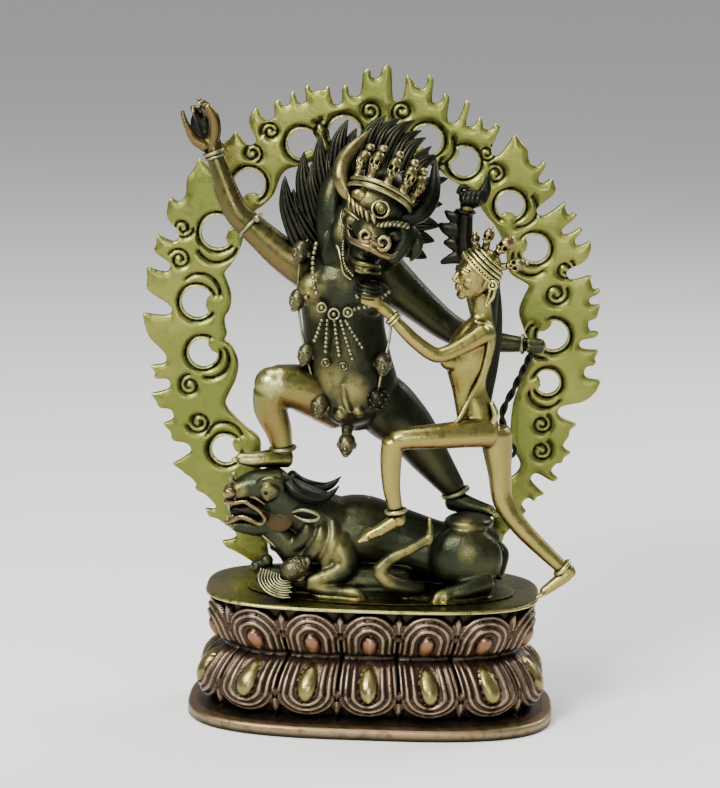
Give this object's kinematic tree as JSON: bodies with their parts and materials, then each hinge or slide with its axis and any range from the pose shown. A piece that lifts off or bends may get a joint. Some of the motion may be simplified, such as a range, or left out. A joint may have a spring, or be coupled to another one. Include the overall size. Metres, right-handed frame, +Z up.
{
  "type": "yamantaka statue",
  "caption": "Cast brass table statue of a buffalo-headed deity with consort, on a bull and a prone man, before a pierced flame aureole on a double-lotus plinth.",
  "frame": {"origin": "centre of the plinth's flat underside", "axes": "+Z up, the figures face -Y, +X to the viewer's right"},
  "size_m": [0.1672, 0.072, 0.2316],
  "materials": {
    "plinth_brass": "dark brown patina with coppery rubbed ridges and an olive top plate",
    "aureole_brass": "satin yellow-olive brass, darker in the grooves",
    "dark_bronze": "dark green-black patina rubbed to golden brass on the high places",
    "golden_brass": "polished golden brass with dark recesses"
  },
  "bodies": {
    "root": {"lotus_plinth": "plinth_brass", "flame_aureole": "aureole_brass", "bull_and_prone_man": "dark_bronze", "deity": "dark_bronze", "consort": "golden_brass"}
  },
  "joints": []
}
